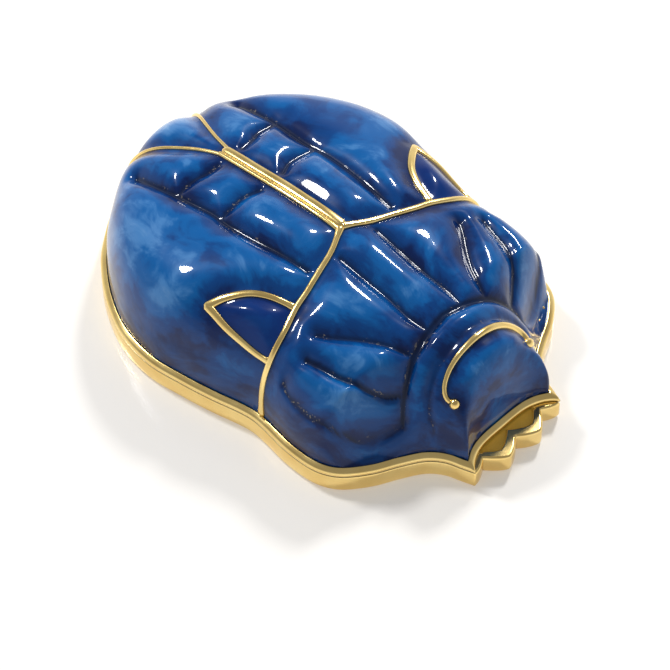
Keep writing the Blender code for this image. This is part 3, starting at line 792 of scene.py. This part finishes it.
def buildBase(material):
    profile = np.array(tray["profile"])*mm
    loops = [inward(baseOutline, inset) for inset, _ in profile]
    levels = profile[:, 1]
    parts = [strip(loops[i], levels[i], loops[i + 1], levels[i + 1]) for i in range(len(loops) - 1)]
    # plans of the teeth and of the catch behind them
    front = toothFront(tray["toothParts"])
    teethFront = nearMiddle(front, tray["teethWidth"])
    teethLoop = np.vstack([teethFront, toothBack(teethFront)[::-1]])
    catchFront = toothBack(nearMiddle(front, tray["catchWidth"]))
    catchBack = -body["length"]/2 + teeth["lipSetback"] + tray["undercut"]
    catchLoop = np.vstack([catchFront, [[catchFront[-1, 0], catchBack], [catchFront[0, 0], catchBack]]])
    soft = tray["soften"]
    collarOut = tray["collarInset"]
    collarIn = collarOut + tray["collarWall"]
    rows = [coverInset.loop(inset, tray["collarStep"])
            for inset in (collarOut, collarOut + soft, collarIn, collarIn + soft)]
    rows = [np.vstack([row, row[:1]]) for row in rows]
    top = loops[-1]
    points = np.vstack([hexPoints(tray["fineStep"], -8*mm, 8*mm, -30.2*mm, -25.4*mm),
                        coarsePoints(tray["coarseStep"], -25*mm)])
    points = points[signedInside(*points.T, top) > tray["clear"]]
    points = points[clearOf(*points.T, rows, tray["clear"])]
    plan, tris, tags, _ = triangulate([top], rows, points)
    tris = tris[[0 in tag for tag in tags]]
    # levels of the top, from the collar in to the floor, then the teeth and the catch
    x, y = plan.T
    height = np.full(len(plan), tray["bandTop"])
    depth = coverInset.distance(x, y)
    inCover = coverInset.inside(x, y)
    shift = 10*tiny
    sunk = smoothStep(collarIn + shift, collarIn + soft + shift, depth)
    collar = smoothStep(collarOut - shift, collarOut + soft - shift, depth)*(1 - sunk)
    height += collar*inCover*(tray["collarTop"] - tray["bandTop"])
    height += sunk*inCover*(tray["floor"] - tray["bandTop"])
    tooth = smoothStep(-soft, soft, signedInside(x, y, teethLoop) + 0.5*soft)
    catch = smoothStep(-soft, soft, signedInside(x, y, catchLoop) + 0.5*soft)
    height += tooth*(tray["toothTop"] - height)
    height += catch*(1 - tooth)*(tray["catchFloor"] - height)
    parts.append((np.column_stack([plan, height]), tris.tolist()))
    foot = loops[0]
    footPlan, footTris, _, _ = triangulate([foot])
    footTris = footTris[signedInside(*footPlan[footTris].mean(axis=1).T, foot) > 0]
    parts.append((atHeight(footPlan, 0.0), footTris[:, ::-1].tolist()))
    made = meshObject("gildedBase", *joinMeshes(parts), slot="gold", material=material)
    weld(made)
    # where the catch's matt gold, lightened as painted light, and the seam's painted shade lie
    co = np.zeros(len(made.data.vertices)*3)
    made.data.vertices.foreach_get("co", co)
    x, y, z = co.reshape(-1, 3).T
    inCatch = signedInside(x, y, catchLoop)
    catchLevel = (z < tray["toothTop"] - tray["catchSlack"]) & (z > tray["catchLow"])
    addLayer(made, "catch", ((inCatch > -tray["catchSlack"]) & catchLevel).astype(float))
    beforeLip = (y < lipLine(x)) & (np.abs(x) < toothCorner[0])
    seamShadeMask = (np.abs(z - tray["bandTop"]) < tray["shadeBelow"]) & (inCatch < -tray["shadeClear"])
    addLayer(made, "seam", (seamShadeMask & ~beforeLip).astype(float))
    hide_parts("base")
    print("   gildedBase", len(made.data.polygons), "faces")


# materials
goldFinish = {
    "shade": (0.88, 0.62, 0.22),
    "light": (0.96, 0.73, 0.30),
    "mattAndLit": (1.0, 0.60, 0.08, 1),          # the finger catch: matt cast gold, its colour raised as painted light in the shaded hollow
    "dark": (0.012, 0.006, 0.002, 1),      # painted shade in the gap of the seam
    "roughness": (0.17, 0.27),
    "mattRoughness": 0.22,
    "broadScale": 260.0,
    "fineScale": 2600.0,
    "grain": 0.06,
    "mattGrain": 0.9,
    "grainHeight": 0.15*mm,
}
enamelFinish = {
    # where a blue starts, from thick dark enamel to thin cloudy enamel
    "blues": [(0.34, (0.0004, 0.013, 0.085)), (0.46, (0.0006, 0.046, 0.200)), (0.57, (0.0020, 0.100, 0.335)),
              (0.68, (0.055, 0.200, 0.470)), (0.80, (0.17, 0.34, 0.58))],
    "shoulder": (0.0003, 0.022, 0.150, 1),
    # painted shade in the carved grooves, over the darker enamel that pools there
    "groove": (0.0008, 0.006, 0.028, 1),
    "worn": (0.42, 0.36, 0.24, 1),         # specks on the flanks of the grooves
    "cloudShare": 0.65,
    "streakShare": 0.35,
    "drift": 0.012,                        # how far the clouds are pushed about
    "waveStrength": 0.10,
    "waveHeight": 0.6*mm,
    "surface": {"Roughness": 0.30, "IOR": 1.35, "Specular IOR Level": 0.1,
                "Coat Weight": 0.8, "Coat Roughness": 0.04, "Coat IOR": 1.34},
}
tableFinish = {"Base Color": (0.86, 0.84, 0.81, 1), "Roughness": 0.15, "IOR": 1.45,
               "Emission Color": (1, 0.97, 0.93, 1), "Emission Strength": 0.23}


def newMaterial(name):
    made = bpy.data.materials.new(name)
    made.use_nodes = True
    tree = made.node_tree
    tree.nodes.clear()
    out = tree.nodes.new("ShaderNodeOutputMaterial")
    shader = tree.nodes.new("ShaderNodeBsdfPrincipled")
    tree.links.new(shader.outputs[0], out.inputs[0])
    return made, tree, shader


def node(tree, kind, inputs=None, **settings):
    made = tree.nodes.new(kind)
    for key, value in settings.items():
        setattr(made, key, value)
    for key, value in (inputs or {}).items():
        if isinstance(value, bpy.types.NodeSocket):
            tree.links.new(value, made.inputs[key])
        else:
            made.inputs[key].default_value = value
    return made


def ramp(tree, value, stops, interpolation="EASE"):
    made = tree.nodes.new("ShaderNodeValToRGB")
    made.color_ramp.interpolation = interpolation
    while len(made.color_ramp.elements) < len(stops):
        made.color_ramp.elements.new(0.5)
    for element, (position, colour) in zip(made.color_ramp.elements, stops):
        element.position = position
        element.color = (*colour, 1) if len(colour) == 3 else (colour[0], colour[0], colour[0], 1)
    tree.links.new(value, made.inputs[0])
    return made.outputs[0]


def mixColour(tree, share, first, second, blend="MIX"):
    made = tree.nodes.new("ShaderNodeMix")
    made.data_type = "RGBA"
    made.blend_type = blend
    for socket, value in ((made.inputs[0], share), (made.inputs[6], first), (made.inputs[7], second)):
        if isinstance(value, bpy.types.NodeSocket):
            tree.links.new(value, socket)
        else:
            socket.default_value = value
    return made.outputs[2]


def arithmetic(tree, operation, *values):
    made = tree.nodes.new("ShaderNodeMath")
    made.operation = operation
    for i, value in enumerate(values):
        if isinstance(value, bpy.types.NodeSocket):
            tree.links.new(value, made.inputs[i])
        else:
            made.inputs[i].default_value = value
    return made.outputs[0]


def noise(tree, vector, scale, detail, output="Fac", roughness=0.5):
    inputs = {"Vector": vector, "Scale": scale, "Detail": detail, "Roughness": roughness}
    return node(tree, "ShaderNodeTexNoise", inputs).outputs[output]


def layerValue(tree, name):
    made = tree.nodes.new("ShaderNodeAttribute")
    made.attribute_name = name
    return made.outputs["Fac"]


def goldMaterial():
    made, tree, shader = newMaterial("polishedGold")
    look = goldFinish
    place3d = node(tree, "ShaderNodeTexCoord").outputs["Object"]
    broad = noise(tree, place3d, look["broadScale"], 3.0)
    fine = noise(tree, place3d, look["fineScale"], 2.0)
    catch = layerValue(tree, "catch")
    seam = layerValue(tree, "seam")
    colour = ramp(tree, broad, [(0.25, look["shade"]), (0.75, look["light"])])
    # painted light: the catch is made brighter and less metallic than the gold so that the hollow under the
    # lip reads lit
    colour = mixColour(tree, catch, colour, look["mattAndLit"])
    # painted shade: the seam layer turns the gold near-black and less metallic in the gap between cover and
    # base
    colour = mixColour(tree, seam, colour, look["dark"])
    tree.links.new(colour, shader.inputs["Base Color"])
    metal = arithmetic(tree, "SUBTRACT", 1.0, arithmetic(tree, "MULTIPLY", catch, 0.9))
    metal = arithmetic(tree, "SUBTRACT", metal, arithmetic(tree, "MULTIPLY", seam, 0.5))
    tree.links.new(metal, shader.inputs["Metallic"])
    smooth, dull = look["roughness"]
    rough = ramp(tree, broad, [(0.3, (smooth,)), (0.8, (dull,))])
    rough = arithmetic(tree, "ADD", rough, arithmetic(tree, "MULTIPLY", catch, look["mattRoughness"]))
    tree.links.new(rough, shader.inputs["Roughness"])
    lift = arithmetic(tree, "ADD", arithmetic(tree, "MULTIPLY", fine, 0.25), broad)
    rise = arithmetic(tree, "ADD", arithmetic(tree, "MULTIPLY", catch, look["mattGrain"]), look["grain"])
    bump = node(tree, "ShaderNodeBump", {"Height": lift, "Strength": rise, "Distance": look["grainHeight"]})
    tree.links.new(bump.outputs[0], shader.inputs["Normal"])
    return made


def enamelMaterial():
    made, tree, shader = newMaterial("cobaltEnamel")
    look = enamelFinish
    place3d = node(tree, "ShaderNodeTexCoord").outputs["Object"]
    # clouds and streaks along the body, pushed about a little
    push = noise(tree, place3d, 90.0, 2.0, "Color")
    push = node(tree, "ShaderNodeVectorMath", {0: push, 1: (0.5, 0.5, 0.5)}, operation="SUBTRACT").outputs[0]
    push = node(tree, "ShaderNodeVectorMath", {0: push, "Scale": look["drift"]}, operation="SCALE")
    swirl = node(tree, "ShaderNodeVectorMath", {0: place3d, 1: push.outputs[0]}, operation="ADD").outputs[0]
    stretch = node(tree, "ShaderNodeMapping", {"Vector": swirl, "Scale": (1.0, 0.32, 1.0)}).outputs[0]
    clouds = noise(tree, swirl, 120.0, 4.0, roughness=0.55)
    streaks = noise(tree, stretch, 420.0, 5.0, roughness=0.6)
    depth = arithmetic(tree, "ADD", arithmetic(tree, "MULTIPLY", clouds, look["cloudShare"]),
                       arithmetic(tree, "MULTIPLY", streaks, look["streakShare"]))
    # paler on the lobes, darker at the shoulders, and darker in the grooves: pooled enamel with painted
    # shade over it
    swell = layerValue(tree, "swell")
    carved = layerValue(tree, "carved")
    depth = arithmetic(tree, "ADD", depth, arithmetic(tree, "MULTIPLY_ADD", swell, 0.22, -0.105))
    colour = ramp(tree, depth, look["blues"])
    deep = arithmetic(tree, "MULTIPLY", layerValue(tree, "deep"), 0.8)
    colour = mixColour(tree, deep, colour, look["shoulder"])
    # painted shade in the carved grooves, over the darker enamel that pools there
    dark = arithmetic(tree, "SMOOTH_MAX", carved, 0.0, 0.05)
    dark = ramp(tree, dark, [(0.35, (0.0,)), (1.0, (0.85,))])
    colour = mixColour(tree, dark, colour, look["groove"])
    # a few worn specks in patches on the grooves' flanks
    speck = noise(tree, place3d, 3200.0, 2.0)
    patch = noise(tree, place3d, 500.0, 1.0)
    flank = ramp(tree, carved, [(0.50, (0.0,)), (0.68, (1.0,)), (0.85, (1.0,)), (1.0, (0.0,))])
    speck = ramp(tree, speck, [(0.56, (0.0,)), (0.68, (1.0,))])
    patch = ramp(tree, patch, [(0.50, (0.0,)), (0.62, (1.0,))])
    worn = arithmetic(tree, "MULTIPLY", arithmetic(tree, "MULTIPLY", flank, speck), patch)
    colour = mixColour(tree, arithmetic(tree, "MULTIPLY", worn, 0.4), colour, look["worn"])
    tree.links.new(colour, shader.inputs["Base Color"])
    for socket, value in look["surface"].items():
        shader.inputs[socket].default_value = value
    wave = noise(tree, place3d, 330.0, 1.5)
    bump = node(tree, "ShaderNodeBump", {"Height": wave, "Strength": look["waveStrength"],
                                         "Distance": look["waveHeight"]})
    tree.links.new(bump.outputs[0], shader.inputs["Normal"])
    tree.links.new(bump.outputs[0], shader.inputs["Coat Normal"])
    return made


def tableMaterial():
    made, _, shader = newMaterial("glossyWhite")
    for socket, value in tableFinish.items():
        shader.inputs[socket].default_value = value
    return made


# studio
studio = {
    "aim": (-1.95*mm, -2.54*mm, 0.0),
    "distance": 0.3443,
    "azimuth": -45.9,
    "elevation": 50.0,
    "lens": 161.2,
    "sensor": 36.0,
    "nearest": 0.01,
    "farthest": 20.0,
    # height in the sky and brightness
    "sky": [(0.0, (0.80,)), (0.25, (0.80,)), (0.62, (0.30,)), (1.0, (0.30,))],
    "tableSize": 6.0,
    "tableDrop": 0.02*mm,    # so that it doesn't touch the underside
    "lamps": [
        # azimuth, elevation, distance, size x, size y, watts
        (112, 46, 0.50, 0.065, 0.085, 1.3),
        (-172, 54, 0.50, 0.075, 0.065, 1.15),
    ],
}


def direction(azimuth, elevation):
    a, e = math.radians(azimuth), math.radians(elevation)
    return Vector((math.sin(a)*math.cos(e), -math.cos(a)*math.cos(e), math.sin(e)))


def addStudio():
    aim = Vector(studio["aim"])
    camera = bpy.data.objects.new("camera", bpy.data.cameras.new("camera"))
    bpy.context.collection.objects.link(camera)
    way = direction(studio["azimuth"], studio["elevation"])
    camera.location = aim + way*studio["distance"]
    camera.rotation_euler = (-way).to_track_quat("-Z", "Y").to_euler()
    camera.data.lens = studio["lens"]
    camera.data.sensor_width = studio["sensor"]
    camera.data.clip_start = studio["nearest"]
    camera.data.clip_end = studio["farthest"]
    bpy.context.scene.camera = camera
    for i, (azimuth, elevation, distance, sizeX, sizeY, watts) in enumerate(studio["lamps"]):
        lamp = bpy.data.lights.new(f"softbox{i}", "AREA")
        lamp.shape = "ELLIPSE"
        lamp.size, lamp.size_y, lamp.energy = sizeX, sizeY, watts
        holder = bpy.data.objects.new(f"softbox{i}", lamp)
        bpy.context.collection.objects.link(holder)
        way = direction(azimuth, elevation)
        holder.location = way*distance
        holder.rotation_euler = (-way).to_track_quat("-Z", "Y").to_euler()
    world = bpy.data.worlds.new("studio")
    bpy.context.scene.world = world
    world.use_nodes = True
    tree = world.node_tree
    view = node(tree, "ShaderNodeTexCoord").outputs["Generated"]
    height = node(tree, "ShaderNodeSeparateXYZ", {"Vector": view}).outputs["Z"]
    tree.links.new(ramp(tree, height, studio["sky"]), tree.nodes["Background"].inputs["Color"])
    bpy.context.scene.view_settings.view_transform = "Standard"
    floor = bpy.data.meshes.new("floor")
    half = studio["tableSize"]/2
    corners = [(-half, -half, 0), (half, -half, 0), (half, half, 0), (-half, half, 0)]
    floor.from_pydata(corners, [], [(0, 1, 2, 3)])
    table = bpy.data.objects.new("floor", floor)
    table.location.z = -studio["tableDrop"]
    floor.materials.append(tableMaterial())
    bpy.context.collection.objects.link(table)


print("materials")
gold = goldMaterial()
blue = enamelMaterial()
print("enamel")
buildEnamel(blue)
print("gold")
buildWires(gold)
buildCover(gold)
buildBase(gold)
print("studio")
addStudio()
